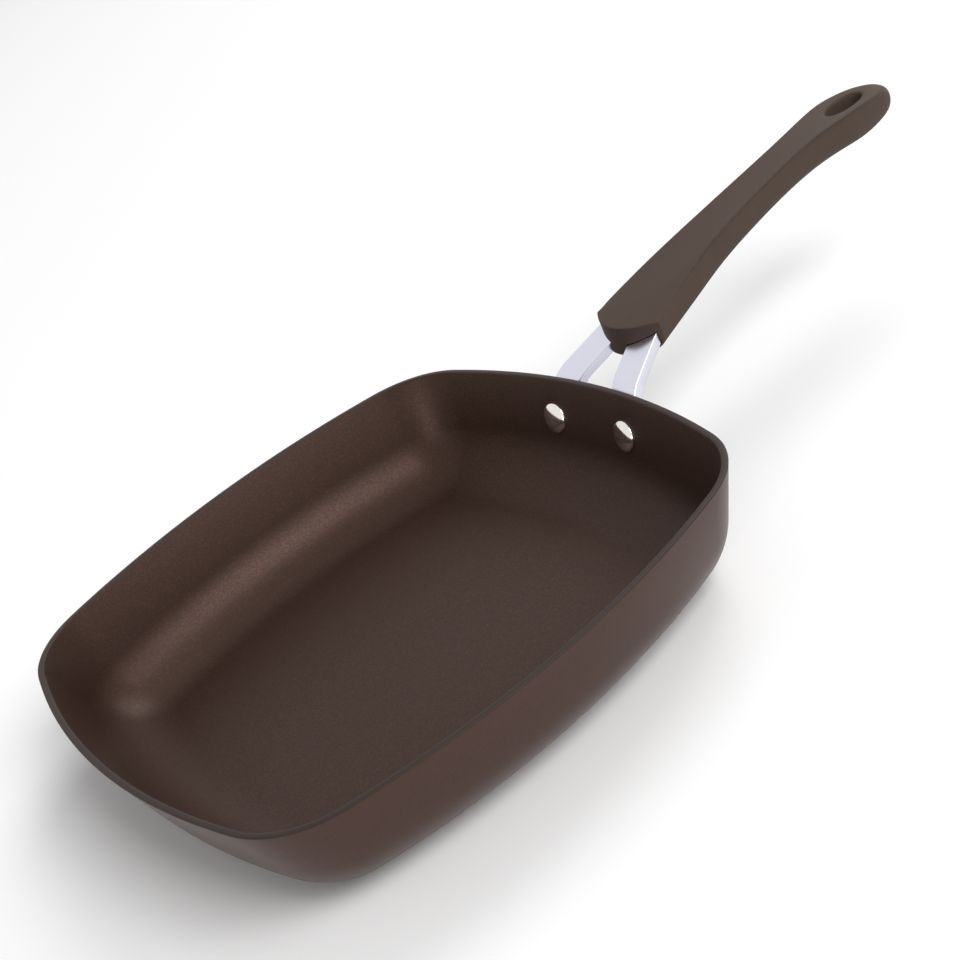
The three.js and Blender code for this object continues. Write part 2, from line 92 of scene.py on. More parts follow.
# Grip, in millimetres wherever MM is not written
GRIP_FRONT_REACH = 33
GRIP_WAIST_REACH = 159
GRIP_STATIONS = (  # reach from the rim, half width, top and belly above the rim's plane
    (33, 22.4, 16.0, 1.6), (36, 21.8, 16.8, 2.1), (44, 20.2, 19.1, 3.3), (54, 18.3, 21.8, 4.8),
    (66, 16.2, 24.8, 6.8), (81, 13.9, 27.9, 10.1), (97, 12.5, 30.3, 13.0), (118, 11.3, 33.0, 15.8),
    (138, 10.5, 35.3, 18.2), (159, 10.3, 37.4, 20.0), (174, 11.9, 38.25, 20.3),
    (186, 13.7, 38.55, 20.1), (200, 14.9, 38.7, 19.8), (214.5, 13.3, 38.6, 19.8),
    (220, 11.5, 38.0, 20.1), (224.4, 8.8, 36.0, 21.1), (227.1, 5.8, 33.6, 23.5),
    (228.4, 2.8, 31.2, 25.9),
)
GRIP_TOP_SECTION = ((0, 1), (0.5, 0.75), (0.9, 0))  # share of the half width, of the scoop
GRIP_FRONT_SECTION = (  # under the ridge: share of the half width, of the height above the belly
    (0.99, 0.34), (0.93, 0.09), (0.5766, 0), (0.279, 0), (0, 0),
)
GRIP_WAIST_SECTION = (
    (0.96, 0.42), (0.76, 0.15), (0.4712, 0), (0.228, 0), (0, 0),
)
GRIP_END_SECTION = (  # share of the half width, of the height down from the top
    (0, 0), (0.4, 0.03), (0.72, 0.1), (0.93, 0.26), (1, 0.44),
    (0.96, 0.61), (0.79, 0.83), (0.5, 0.95), (0.25, 0.99), (0, 1),
)
GRIP_END_ROUNDING = (205, 226)  # reaches between which the crisp section turns round
GRIP_BULGE = 12  # of the front towards the pan
GRIP_BULGE_LENGTH = 44
GRIP_SCOOP = 1.5  # depth of the top between its ridges
SCOOP_FULL_REACH = 75
RIDGE_EDGE = 0.4  # height of the top edge
RIDGE_BAND = 3.2  # from the top down to the cove under its edge
RIDGE_COVE = 2.8  # depth of the cove
FRONT_COVE = 0.6  # its depth at the front, where the slots are near
COVE_FULL_REACH = 70
HOLE_REACHES = (186, 200, 214.5)
HOLE_HALF_WIDTH = 9.2
HOLE_END_HALF_WIDTH = 6.808
HOLE_END_PULL = 3.4  # of the corners of the hole's cage towards its middle
HOLE_BELLY_RISE = 0.3  # of the strip beside the hole, as a share of the rise to the side
HOLE_LIP = 1.8 * MM
HOLE_LIP_DROP = 0.4 * MM
HOLE_CUTS = 2
RIDGE_STATIONS = GRIP_STATIONS[1:-3]
RIDGE_CREASE = 0.55
FRONT_CREASE = 0.5
FRONT_GRID = 12 * MM
FRONT_COLUMNS = 3  # of the front wall's faces on each side of the middle
FRONT_ROWS = 3
SMOOTHING_LEVELS = 3
SLOT_GAP = 0.35 * MM

# Screw, washer and insert on an axis square to the tang; heights from the tang's middle
SCREW_X = RIM_HALF + 66 * MM
SCREW_RADIUS = 2 * MM
SCREW_HEAD_RADIUS = 3.6 * MM
SCREW_HEAD_HEIGHT = 2 * MM
SCREW_HEAD_ROUND = 0.7 * MM
SCREW_SLOT = (4 * MM, 1 * MM, 1.8 * MM)  # length, width and height of the recess's cutter
WASHER_RADIUS = 3.8 * MM
WASHER_THICKNESS = 0.8 * MM
INSERT_RADIUS = 3.5 * MM
INSERT_LENGTH = 3.6 * MM
SEAT_WEB = 2.6 * MM
EDGE_BREAK = 0.15 * MM
SEAT_Z = -LEG_THICKNESS / 2 - SEAT_GAP - SEAT_WEB
WASHER_TOP = SEAT_Z - SEAT_GAP
HEAD_TOP = WASHER_TOP - WASHER_THICKNESS - SEAT_GAP
INSERT_BOTTOM = LEG_THICKNESS / 2 + SEAT_GAP
INSERT_TOP = INSERT_BOTTOM + INSERT_LENGTH

# Modelling limits
SMOOTH_ANGLE = math.radians(35)
SEAM = 0.005 * MM  # vertices nearer than this become one
SLIVER = 0.001 * MM  # what a cut leaves thinner than this is merged
SAME_PLACE = 0.02 * MM  # a vertex nearer than this to a place is the one meant
ALIGNED = 0.9  # cosine above which a face counts as facing a way
EDGE_SEGMENTS = 3
ROUND_STEPS = 64
DRILL_REACH = 12 * MM


# Modelling: a piece starts as one vertex or a primitive, and is drawn on in edit mode

def start_piece(name, at):
    """Begin a piece in edit mode as a single selected vertex."""
    bpy.ops.object.select_all(action="DESELECT")
    bpy.ops.mesh.primitive_plane_add(size=MM)
    piece = bpy.context.object
    piece.name = piece.data.name = name
    bpy.ops.object.mode_set(mode="EDIT")
    bpy.ops.mesh.select_mode(type="VERT")
    bpy.ops.mesh.select_all(action="SELECT")
    bpy.ops.mesh.merge(type="CENTER")
    bpy.ops.transform.translate(value=at)
    return piece


def draw_through(points):
    """Extrude what is selected from the first point to each of the others."""
    for here, there in zip(points, points[1:]):
        bpy.ops.mesh.extrude_region_move(TRANSFORM_OT_translate={"value": there - here})


def middle_of(item):
    """The place of a vertex, or the mean place of an edge's or a face's vertices."""
    if isinstance(item, bmesh.types.BMVert):
        return item.co
    return sum((vert.co for vert in item.verts), Vector()) / len(item.verts)


def pick(piece, kind, test):
    """Select only the verts, edges or faces that pass the test on their middle and themselves."""
    bpy.ops.mesh.select_mode(type={"verts": "VERT", "edges": "EDGE", "faces": "FACE"}[kind])
    bpy.ops.mesh.select_all(action="DESELECT")
    mesh = bmesh.from_edit_mesh(piece.data)
    for item in getattr(mesh, kind):
        if test(middle_of(item), item):
            item.select_set(True)
    bmesh.update_edit_mesh(piece.data)


def make_active(piece):
    bpy.ops.object.select_all(action="DESELECT")
    piece.select_set(True)
    bpy.context.view_layer.objects.active = piece


def close_piece(piece):
    """Merge doubles, turn the faces outwards, leave edit mode and shade smooth."""
    bpy.ops.mesh.select_all(action="SELECT")
    bpy.ops.mesh.remove_doubles(threshold=SEAM)
    bpy.ops.mesh.normals_make_consistent(inside=False)
    bpy.ops.object.mode_set(mode="OBJECT")
    smooth(piece)


def smooth(piece):
    make_active(piece)
    bpy.ops.object.shade_smooth_by_angle(angle=SMOOTH_ANGLE)


def modify(piece, kind, **settings):
    """Add a modifier with its settings and apply it."""
    make_active(piece)
    modifier = piece.modifiers.new(kind, kind)
    for key, value in settings.items():
        setattr(modifier, key, value)
    bpy.ops.object.modifier_apply(modifier=modifier.name)


def combine(piece, other, operation):
    """Cut a piece with another or weld the two, remove the other, and clean the new faces."""
    modify(piece, "BOOLEAN", object=other, operation=operation, solver="EXACT")
    bpy.data.objects.remove(other)
    bpy.ops.object.mode_set(mode="EDIT")
    bpy.ops.mesh.select_all(action="SELECT")
    bpy.ops.mesh.remove_doubles(threshold=SLIVER)
    bpy.ops.mesh.dissolve_degenerate(threshold=SLIVER)
    bpy.ops.mesh.vert_connect_concave()
    bpy.ops.object.mode_set(mode="OBJECT")


def put(piece, matrix):
    """Move a piece modelled about the origin to its place, and keep the place in its mesh."""
    make_active(piece)
    piece.matrix_world = matrix
    bpy.ops.object.transform_apply(location=True, rotation=True, scale=True)


def turned(name, profile, matrix):
    """Draw a half profile of (radius, height), spin it about the Z axis and put it in place."""
    points = [Vector((radius, 0, height)) for radius, height in profile]
    piece = start_piece(name, points[0])
    draw_through(points)
    bpy.ops.mesh.select_all(action="SELECT")
    bpy.ops.mesh.spin(steps=ROUND_STEPS, angle=2 * math.pi, center=(0, 0, 0), axis=(0, 0, 1))
    close_piece(piece)
    put(piece, matrix)
    return piece


def drill(radius, place):
    """A rod along the Z axis of a place, to cut with."""
    return turned("drill", [(0, -DRILL_REACH), (radius, -DRILL_REACH),
                            (radius, DRILL_REACH), (0, DRILL_REACH)], place)


def spread(first, last, steps):
    """Evenly spaced values from first to last."""
    return [first + (last - first) * step / steps for step in range(steps + 1)]


# Vessel: the rim's outline spun from one vertex, then inset down each face of the wall

def rim_outline(name):
    """Spin one vertex round the four bowed sides and the four corners, and fill the outline."""
    side_centre = RIM_HALF - SIDE_BOW_RADIUS
    reach = SIDE_BOW_RADIUS - CORNER_RADIUS
    corner_centre = (side_centre + math.sqrt(2 * reach ** 2 - side_centre ** 2)) / 2
    join = math.atan2(corner_centre, corner_centre - side_centre)
    first = Vector((side_centre + SIDE_BOW_RADIUS * math.cos(join),
                    -SIDE_BOW_RADIUS * math.sin(join), RIM_Z))
    arcs = (
        (Vector((side_centre, 0, RIM_Z)), 2 * join, SIDE_STEPS),
        (Vector((corner_centre, corner_centre, RIM_Z)), math.pi / 2 - 2 * join, CORNER_STEPS),
    )
    piece = start_piece(name, first)
    for quarter in range(4):
        turn = Matrix.Rotation(quarter * math.pi / 2, 3, "Z")
        for centre, angle, steps in arcs:
            bpy.ops.mesh.spin(steps=steps, angle=-angle, center=turn @ centre, axis=(0, 0, 1))
    bpy.ops.mesh.select_all(action="SELECT")
    bpy.ops.mesh.remove_doubles(threshold=SEAM)
    bpy.ops.mesh.edge_face_add()
    return piece


def wall_profile(rim_inset, base_z, radius):
    """(inset, z) down one face of the wall, from the rim to the flat of the base."""
    bend_top = base_z + radius * (1 - math.sin(WALL_LEAN))
    bend_inset = rim_inset + (RIM_Z - bend_top) * math.tan(WALL_LEAN)
    centre_inset = bend_inset + radius * math.cos(WALL_LEAN)
    points = [(rim_inset, RIM_Z)]
    for angle in spread(WALL_LEAN, math.pi / 2, BOTTOM_STEPS):
        points.append((centre_inset - radius * math.cos(angle),
                       base_z + radius * (1 - math.sin(angle))))
    return points + [(centre_inset + BASE_MARGIN, base_z)]


def inset_down(piece, facing, points):
    """Turn the outline's face up or down, and inset it step by step down a wall profile."""
    bpy.ops.mesh.select_mode(type="FACE")
    bpy.ops.mesh.select_all(action="SELECT")
    outline = next(iter(bmesh.from_edit_mesh(piece.data).faces))
    if outline.normal.z * facing < 0:
        bpy.ops.mesh.flip_normals()
    for here, there in zip(points, points[1:]):
        bpy.ops.mesh.inset(thickness=there[0] - here[0], depth=facing * (there[1] - here[1]))
    bpy.ops.object.mode_set(mode="OBJECT")


def pan_shell():
    """Outer and inner shells from the same outline, welded along the rim and drilled."""
    wall_across = WALL_THICKNESS / math.cos(WALL_LEAN)
    outer = rim_outline("outer_shell")
    inset_down(outer, -1, wall_profile(0, 0, BOTTOM_RADIUS))
    shell = rim_outline("pan_shell")
    inside = wall_profile(wall_across, BASE_THICKNESS, INNER_BOTTOM_RADIUS)
    inset_down(shell, 1, [(0, RIM_Z)] + inside)
    outer.select_set(True)
    bpy.ops.object.join()
    bpy.ops.object.mode_set(mode="EDIT")
    bpy.ops.mesh.select_all(action="SELECT")
    bpy.ops.mesh.remove_doubles(threshold=SEAM)
    pick(shell, "edges", lambda middle, edge: middle.z > RIM_Z - SEAM
         and min(face.normal.z for face in edge.link_faces) < RIM_NORMAL_Z)
    bpy.ops.mesh.bevel(offset=RIM_EDGE, segments=EDGE_SEGMENTS, affect="EDGES")
    close_piece(shell)
    bore_for_rivets(shell)
    smooth(shell)
    return shell


# Rivets: each stands square to the wall

def side_sag(y):
    """How far the bowed side has fallen back from its middle."""
    return SIDE_BOW_RADIUS - math.sqrt(SIDE_BOW_RADIUS ** 2 - y ** 2)


def rivet_place(side):
    """Origin on the wall's outer face at the rivet, +Z square out of the pan."""
    y = side * RIVET_HALF_SPACING
    x = RIM_HALF - RIVET_DEPTH * math.tan(WALL_LEAN) - side_sag(y)
    return (Matrix.Translation((x, y, RIM_Z - RIVET_DEPTH))
            @ Matrix.Rotation(math.asin(y / SIDE_BOW_RADIUS), 4, "Z")
            @ Matrix.Rotation(math.pi / 2 + WALL_LEAN, 4, "Y"))


def bore_for_rivets(piece):
    for side in (1, -1):
        combine(piece, drill(RIVET_SHANK_RADIUS + SEAT_GAP, rivet_place(side)), "DIFFERENCE")


def rivet():
    """Pressed dome inside the pan, shank through the wall and the foot, upset tail outside."""
    def dome(radius, height, seat, direction):
        points = []
        for angle in spread(0, math.pi / 2, DOME_STEPS):
            rise = RIVET_LIP + (height - RIVET_LIP) * math.cos(angle)
            points.append((radius * math.sin(angle), seat + direction * rise))
        return points + [(radius, seat)]
    head_seat = -WALL_THICKNESS - RIVET_SEAT_GAP
    tail_seat = SEAT_GAP + LEG_THICKNESS + RIVET_SEAT_GAP
    profile = dome(RIVET_HEAD_RADIUS, RIVET_HEAD_HEIGHT, head_seat, -1)
    profile += [(RIVET_SHANK_RADIUS, head_seat), (RIVET_SHANK_RADIUS, tail_seat)]
    profile += reversed(dome(RIVET_TAIL_RADIUS, RIVET_TAIL_HEIGHT, tail_seat, 1))
    return turned("rivet_dome_left", profile, rivet_place(1))


def mirrored(piece, name):
    """A copy of a piece on the other side of the handle, with its own mesh."""
    make_active(piece)
    bpy.ops.object.duplicate(linked=False)
    copy = bpy.context.object
    copy.name = copy.data.name = name
    put(copy, Matrix.Diagonal((1, -1, 1, 1)))
    bpy.ops.object.mode_set(mode="EDIT")
    close_piece(copy)
    return copy


# Forked bracket: a strip drawn along the bent path of each leg, thickened, its edges broken

def rounded(before, corner, after, radius):
    """Points on the arc that rounds a corner of the path."""
    inward = (before - corner).normalized()
    outward = (after - corner).normalized()
    half = inward.angle(outward) / 2
    centre = corner + (inward + outward).normalized() * (radius / math.sin(half))
    start = corner + inward * (radius / math.tan(half)) - centre
    end = corner + outward * (radius / math.tan(half)) - centre
    sweep = math.atan2(start.x * end.y - start.y * end.x, start.dot(end))
    return [centre + Matrix.Rotation(angle, 2) @ start for angle in spread(0, sweep, BEND_STEPS)]


def strap_corners():
    """Foot, bend at the rim, mouth of the grip and end of the tang, on the strap's middle in XZ."""
    offset = SEAT_GAP + LEG_THICKNESS / 2
    wall_x = RIM_HALF + offset / math.cos(WALL_LEAN)
    foot_depth = RIVET_DEPTH + offset * math.sin(WALL_LEAN) + LEG_WIDTH / 2 * math.cos(WALL_LEAN)
    foot, bend = (Vector((wall_x - depth * math.tan(WALL_LEAN), RIM_Z - depth))
                  for depth in (foot_depth, BEND_DEPTH))
    mouth = Vector((MOUTH_X, bend.y + (MOUTH_X - bend.x) * math.tan(LEG_RISE)))
    tang_end = Vector((TANG_END_X, mouth.y + (TANG_END_X - mouth.x) * math.tan(TANG_RISE)))
    return foot, bend, mouth, tang_end


def strap_path():
    foot, bend, mouth, tang_end = strap_corners()
    return [foot, *rounded(foot, bend, mouth, BEND_RADIUS),
            *rounded(bend, mouth, tang_end, MOUTH_BEND_RADIUS), tang_end]


def path_length(path):
    return sum((there - here).length for here, there in zip(path, path[1:]))


def point_along(path, distance):
    for here, there in zip(path, path[1:]):
        length = (there - here).length
        if distance <= length:
            return here.lerp(there, distance / length)
        distance -= length
    return path[-1]


def strip(name, points, half_widths, across, grow):
    """Draw an edge, extrude it along the points with its half widths, and thicken it."""
    first, second = (points[0] + side * half_widths[0] * across for side in (1, -1))
    piece = start_piece(name, first)
    draw_through([first, second])
    bpy.ops.mesh.select_all(action="SELECT")
    for here, there, old, new in zip(points, points[1:], half_widths, half_widths[1:]):
        draw_through([here, there])
        bpy.ops.transform.resize(value=(new / old,) * 3, center_override=there)
    close_piece(piece)
    modify(piece, "SOLIDIFY", thickness=LEG_THICKNESS + 2 * grow, offset=0, use_even_offset=True)
    modify(piece, "BEVEL", width=LEG_EDGE, segments=EDGE_SEGMENTS, angle_limit=LEG_EDGE_ANGLE,
           use_clamp_overlap=False)
    return piece


def fork_leg(name, grow):
    """The left leg, from its round foot on the wall to the tang."""
    path = strap_path()
    foot = LEG_WIDTH / 2
    half = foot / math.cos(LEG_SPLAY)
    last = foot + (RIVET_HALF_SPACING - TANG_WIDTH / 2 + half) / math.tan(LEG_SPLAY)
    bend_start = (path[1] - path[0]).length
    bend_end = path_length(path[:BEND_STEPS + 2])
    rounding = [foot * (1 - math.cos(angle)) for angle in spread(0, math.pi / 2, FOOT_STEPS)]
    distances = rounding[1:-1] + spread(foot, last, LEG_STEPS)
    points, half_widths = [], []
    for distance in distances:
        y = RIVET_HALF_SPACING - (distance - foot) * math.tan(LEG_SPLAY)
        fade = min(max((bend_end - distance) / (bend_end - bend_start), 0), 1)
        flat = point_along(path, distance)
        points.append(Vector((flat.x - fade * side_sag(y), y, flat.y)))
        short = max(1 - distance / foot, 0)
        half_widths.append(half * math.sqrt(1 - short ** 2) + grow)
    across = Vector((-RIVET_HALF_SPACING / SIDE_BOW_RADIUS, 1, 0))
    return strip(name, points, half_widths, across, grow)


def fork(name, grow):
    """Two legs and the tang they run into, welded; grown on every side for the grip's slots."""
    path = strap_path()
    length = path_length(path)
    flat = [point_along(path, distance)
            for distance in spread(length - TANG_LENGTH, length, TANG_STEPS)]
    flat[-1] += (flat[-1] - flat[-2]).normalized() * grow
    points = [Vector((point.x, 0, point.y)) for point in flat]
    half_widths = [TANG_WIDTH / 2 + grow] * len(points)
    piece = strip(name, points, half_widths, Vector((0, 1, 0)), grow)
    left = fork_leg("leg", grow)
    right = mirrored(left, "other_leg")
    combine(piece, left, "UNION")
    combine(piece, right, "UNION")
    return piece


def handle_fork():
    piece = fork("fork_bracket", 0)
    bore_for_rivets(piece)
    combine(piece, drill(SCREW_RADIUS + SEAT_GAP, screw_place()), "DIFFERENCE")
    smooth(piece)
    return piece


# Grip: a cage extruded station by station from its front wall, smoothed, with the slots cut in

def smooth_step(value, low, high):
    """Rise from 0 at the low value to 1 at the high one, level at both ends."""
    share = min(max((value - low) / (high - low), 0), 1)
    return share * share * (3 - 2 * share)


def grip_cage(station):
    """Places of the cage's columns at a station, for the half with y >= 0, from the top middle
    round the crisp ridge and the side to the belly's middle."""
    reach, half_width, top, belly = station
    height = top - belly
    slim = smooth_step(reach, GRIP_FRONT_REACH, GRIP_WAIST_REACH)
    scoop = GRIP_SCOOP * smooth_step(reach, GRIP_FRONT_REACH, SCOOP_FULL_REACH)
    deepened = smooth_step(reach, GRIP_FRONT_REACH, COVE_FULL_REACH)
    cove = FRONT_COVE + (RIDGE_COVE - FRONT_COVE) * deepened
    columns = [Vector((across, top - share * scoop)) for across, share in GRIP_TOP_SECTION]
    columns.append(Vector((1, top - RIDGE_EDGE)))
    columns.append(Vector((1 - cove / half_width, top - RIDGE_BAND)))
    for front, waist in zip(GRIP_FRONT_SECTION, GRIP_WAIST_SECTION):
        across, rise = Vector(front).lerp(Vector(waist), slim)
        columns.append(Vector((across, belly + rise * height)))
    round_end = smooth_step(reach, *GRIP_END_ROUNDING)
    columns = [column.lerp(Vector((across, top - drop * height)), round_end)
               for column, (across, drop) in zip(columns, GRIP_END_SECTION)]
    bulge = GRIP_BULGE * max(1 - (reach - GRIP_FRONT_REACH) / GRIP_BULGE_LENGTH, 0)
    places = [Vector((RIM_HALF / MM + reach - bulge * (1 - across ** 2),
                      half_width * across, RIM_Z / MM + z)) for across, z in columns]
    if reach in HOLE_REACHES:
        make_room_for_hole(places, reach)
    return [place * MM for place in places]


def make_room_for_hole(places, reach):
    """Bring the columns on both sides of the hang hole to its edge, at the top and the belly."""
    _, middle, last = HOLE_REACHES
    end = (reach - middle) / (last - middle)
    side, beside_hole, hole_belly = places[6:9]
    for place in (places[1], hole_belly):
        place.x -= HOLE_END_PULL * end
        place.y = HOLE_END_HALF_WIDTH if end else HOLE_HALF_WIDTH
    beside_hole.y = (side.y + hole_belly.y) / 2
    beside_hole.z += HOLE_BELLY_RISE * (side.z - beside_hole.z)


def move_pair(piece, old, new):
    """Move the vertices at a place and its mirror image to a new place and its mirror image."""
    pick(piece, "verts", lambda middle, vert:
         (Vector((middle.x, abs(middle.y), middle.z)) - old).length < SAME_PLACE)
    if old.y > 0:
        bpy.ops.transform.resize(value=(1, new.y / old.y, 1), center_override=(0, 0, 0))
    bpy.ops.transform.translate(value=(new.x - old.x, 0, new.z - old.z))


def front_wall():
    """The grip's front: a standing grid of seven columns and four rows, bowed towards the pan."""
    bpy.ops.object.select_all(action="DESELECT")
    bpy.ops.mesh.primitive_grid_add(
        x_subdivisions=2 * FRONT_COLUMNS, y_subdivisions=FRONT_ROWS, size=FRONT_GRID,
        location=(0, 0, RIM_Z), rotation=(math.pi / 2, 0, math.pi / 2))
    piece = bpy.context.object
    piece.name = piece.data.name = "grip_moulding"
    bpy.ops.object.transform_apply(location=True, rotation=True, scale=True)
    bpy.ops.object.mode_set(mode="EDIT")
    cage = grip_cage(GRIP_STATIONS[0])
    tops, bellies = cage[:4], cage[:5:-1]
    upper_side, lower_side = cage[4:6]
    across, up = FRONT_GRID / (2 * FRONT_COLUMNS), FRONT_GRID / FRONT_ROWS
    for column, (top, belly) in enumerate(zip(tops, bellies)):
        rows = [belly]
        for side in (lower_side, upper_side):
            level = (side.z - bellies[0].z) / (tops[0].z - bellies[0].z)
            rows.append(side if column == FRONT_COLUMNS else belly.lerp(top, level))
        rows.append(top)
        for row, new in enumerate(rows):
            old = Vector((0, column * across, RIM_Z - FRONT_GRID / 2 + row * up))
            move_pair(piece, old, new)
    return piece


def grip_body():
    """Extrude the front wall's edge from station to station, moving each column to its place."""
    piece = front_wall()
    old = grip_cage(GRIP_STATIONS[0])
    for station in GRIP_STATIONS[1:]:
        new = grip_cage(station)
        step = Vector((new[0].x - old[0].x, 0, 0))
        pick(piece, "edges", lambda middle, edge: edge.is_boundary)
        draw_through([Vector(), step])
        for here, there in zip(old, new):
            move_pair(piece, here + step, there)
        old = new
    return piece, old


def on_line(place, line):
    """Whether a vertex, or its mirror image, is one of the line's points."""
    across = Vector((place.x, abs(place.y), place.z))
    return any((across - point).length < SAME_PLACE for point in line)


def close_end(piece, ring):
    """Close the tail with upright faces side by side, each between these columns of its ring."""
    faces = ((0, 1, 8, 9), (1, 2, 7, 8), (2, 3, 4, 5, 6, 7))
    for side in (1, -1):
        for columns in faces:
            corners = [Vector((ring[i].x, side * ring[i].y, ring[i].z)) for i in columns]
            pick(piece, "verts", lambda middle, vert:
                 any((middle - corner).length < SAME_PLACE for corner in corners))
            bpy.ops.mesh.edge_face_add()


def grip():
    """Body, closed tail, hang hole, creases, smoothing, and the rooms for fork and screw."""
    piece, last_ring = grip_body()
    close_end(piece, last_ring)
    bpy.ops.mesh.select_all(action="SELECT")
    bpy.ops.mesh.normals_make_consistent(inside=False)
    first, _, last = (RIM_HALF + reach * MM for reach in HOLE_REACHES)
    pick(piece, "faces", lambda middle, face:
         first < middle.x < last and abs(middle.y) < HOLE_END_HALF_WIDTH * MM)
    bpy.ops.mesh.inset(thickness=HOLE_LIP, depth=-HOLE_LIP_DROP)
    bpy.ops.mesh.bridge_edge_loops(number_cuts=HOLE_CUTS)
    ridge = [grip_cage(station)[3] for station in RIDGE_STATIONS]
    front = grip_cage(GRIP_STATIONS[0])
    for line, crease in ((ridge, RIDGE_CREASE), (front, FRONT_CREASE)):
        pick(piece, "edges", lambda middle, edge:
             all(on_line(vert.co, line) for vert in edge.verts))
        bpy.ops.transform.edge_crease(value=crease)
    close_piece(piece)
    modify(piece, "SUBSURF", levels=SMOOTHING_LEVELS, render_levels=SMOOTHING_LEVELS)
    combine(piece, fork("slot_cutter", SLOT_GAP), "DIFFERENCE")
    head_room, bore, insert_room = (
        radius + SEAT_GAP for radius in (WASHER_RADIUS, SCREW_RADIUS, INSERT_RADIUS))
    ceiling = INSERT_TOP + SEAT_GAP
    stepped = turned("stepped_drill", [
        (0, -DRILL_REACH), (head_room, -DRILL_REACH), (head_room, SEAT_Z), (bore, SEAT_Z),
        (bore, 0), (insert_room, 0), (insert_room, ceiling), (0, ceiling)], screw_place())
    combine(piece, stepped, "DIFFERENCE")
    smooth(piece)
    return piece


# Screw, washer and insert

def screw_place():
    """Origin in the middle of the tang at the screw, +Z up out of the tang."""
    _, _, mouth, _ = strap_corners()
    z = mouth.y + (SCREW_X - mouth.x) * math.tan(TANG_RISE)
    return Matrix.Translation((SCREW_X, 0, z)) @ Matrix.Rotation(-TANG_RISE, 4, "Y")


def cross_cutter(middle_z):
    """A square bar with an arm extruded out of each of its four sides."""
    length, width, height = SCREW_SLOT
    bpy.ops.object.select_all(action="DESELECT")
    bpy.ops.mesh.primitive_cube_add(size=width, location=(0, 0, middle_z))
    cutter = bpy.context.object
    put(cutter, Matrix.Translation((0, 0, middle_z)) @ Matrix.Diagonal((1, 1, height / width, 1)))
    bpy.ops.object.mode_set(mode="EDIT")
    for x, y in ((1, 0), (-1, 0), (0, 1), (0, -1)):
        side = Vector((x, y, 0))
        pick(cutter, "faces", lambda middle, face: face.normal.dot(side) > ALIGNED
             and abs(side.cross(middle).z) < width / 2)
        draw_through([Vector(), side * (length - width) / 2])
    close_piece(cutter)
    return cutter


def screw():
    """Pan head with a rounded edge and a cross recess, shank up to the top of the insert."""
    head_bottom = HEAD_TOP - SCREW_HEAD_HEIGHT
    profile = [(0, head_bottom)]
    for angle in spread(0, math.pi / 2, DOME_STEPS):
        profile.append((SCREW_HEAD_RADIUS - SCREW_HEAD_ROUND * (1 - math.sin(angle)),
                        head_bottom + SCREW_HEAD_ROUND * (1 - math.cos(angle))))
    profile += [(SCREW_HEAD_RADIUS, HEAD_TOP), (SCREW_RADIUS, HEAD_TOP),
                (SCREW_RADIUS, INSERT_TOP), (0, INSERT_TOP)]
    piece = turned("pan_head_screw", profile, Matrix())
    combine(piece, cross_cutter(head_bottom), "DIFFERENCE")
    put(piece, screw_place())
    smooth(piece)
    return piece


def ring(name, radius, bottom, top):
    """A turned ring about the screw with broken edges."""
    hole = SCREW_RADIUS + SEAT_GAP
    cut = EDGE_BREAK
    return turned(name, [
        (hole, bottom + cut), (hole + cut, bottom), (radius - cut, bottom),
        (radius, bottom + cut), (radius, top - cut), (radius - cut, top),
        (hole + cut, top), (hole, top - cut), (hole, bottom + cut)], screw_place())


# Finishes

def linear(colour):
    """An sRGB hex colour as linear RGBA."""
    channels = [int(colour[i:i + 2], 16) / 255 for i in (1, 3, 5)]
    return [c / 12.92 if c <= 0.04045 else ((c + 0.055) / 1.055) ** 2.4 for c in channels] + [1]


def node(tree, kind, inputs, **settings):
    """Add a node with its settings; each input takes a value or the socket it is linked from."""
    item = tree.nodes.new(kind)
    for key, value in settings.items():
        setattr(item, key, value)
    for key, value in inputs.items():
        if isinstance(value, bpy.types.NodeSocket):
            tree.links.new(value, item.inputs[key])
        else:
            item.inputs[key].default_value = value
    return item


def new_material(name):
    """An empty material, its node tree and the piece's own coordinates."""
    material = bpy.data.materials.new(name)
    material.use_nodes = True
    tree = material.node_tree
    tree.nodes.clear()
    return material, tree, node(tree, "ShaderNodeTexCoord", {}).outputs["Object"]


def mix_colour(factor, dark, light):
    """Inputs of a colour mix node, from a dark to a light sRGB colour."""
    return {0: factor, 6: linear(dark), 7: linear(light)}


def show(tree, shader):
    node(tree, "ShaderNodeOutputMaterial", {"Surface": shader.outputs["BSDF"]})


FLECK = 0.5 * MM
COAT_PEEL = 1.6 * MM
PEEL_HEIGHT = 0.03 * MM
BRUSH = (14 * MM, 0.25 * MM, 0.25 * MM)  # of a brush mark, along the leg and across it
GRAIN = 0.35 * MM
SMEAR = 9 * MM


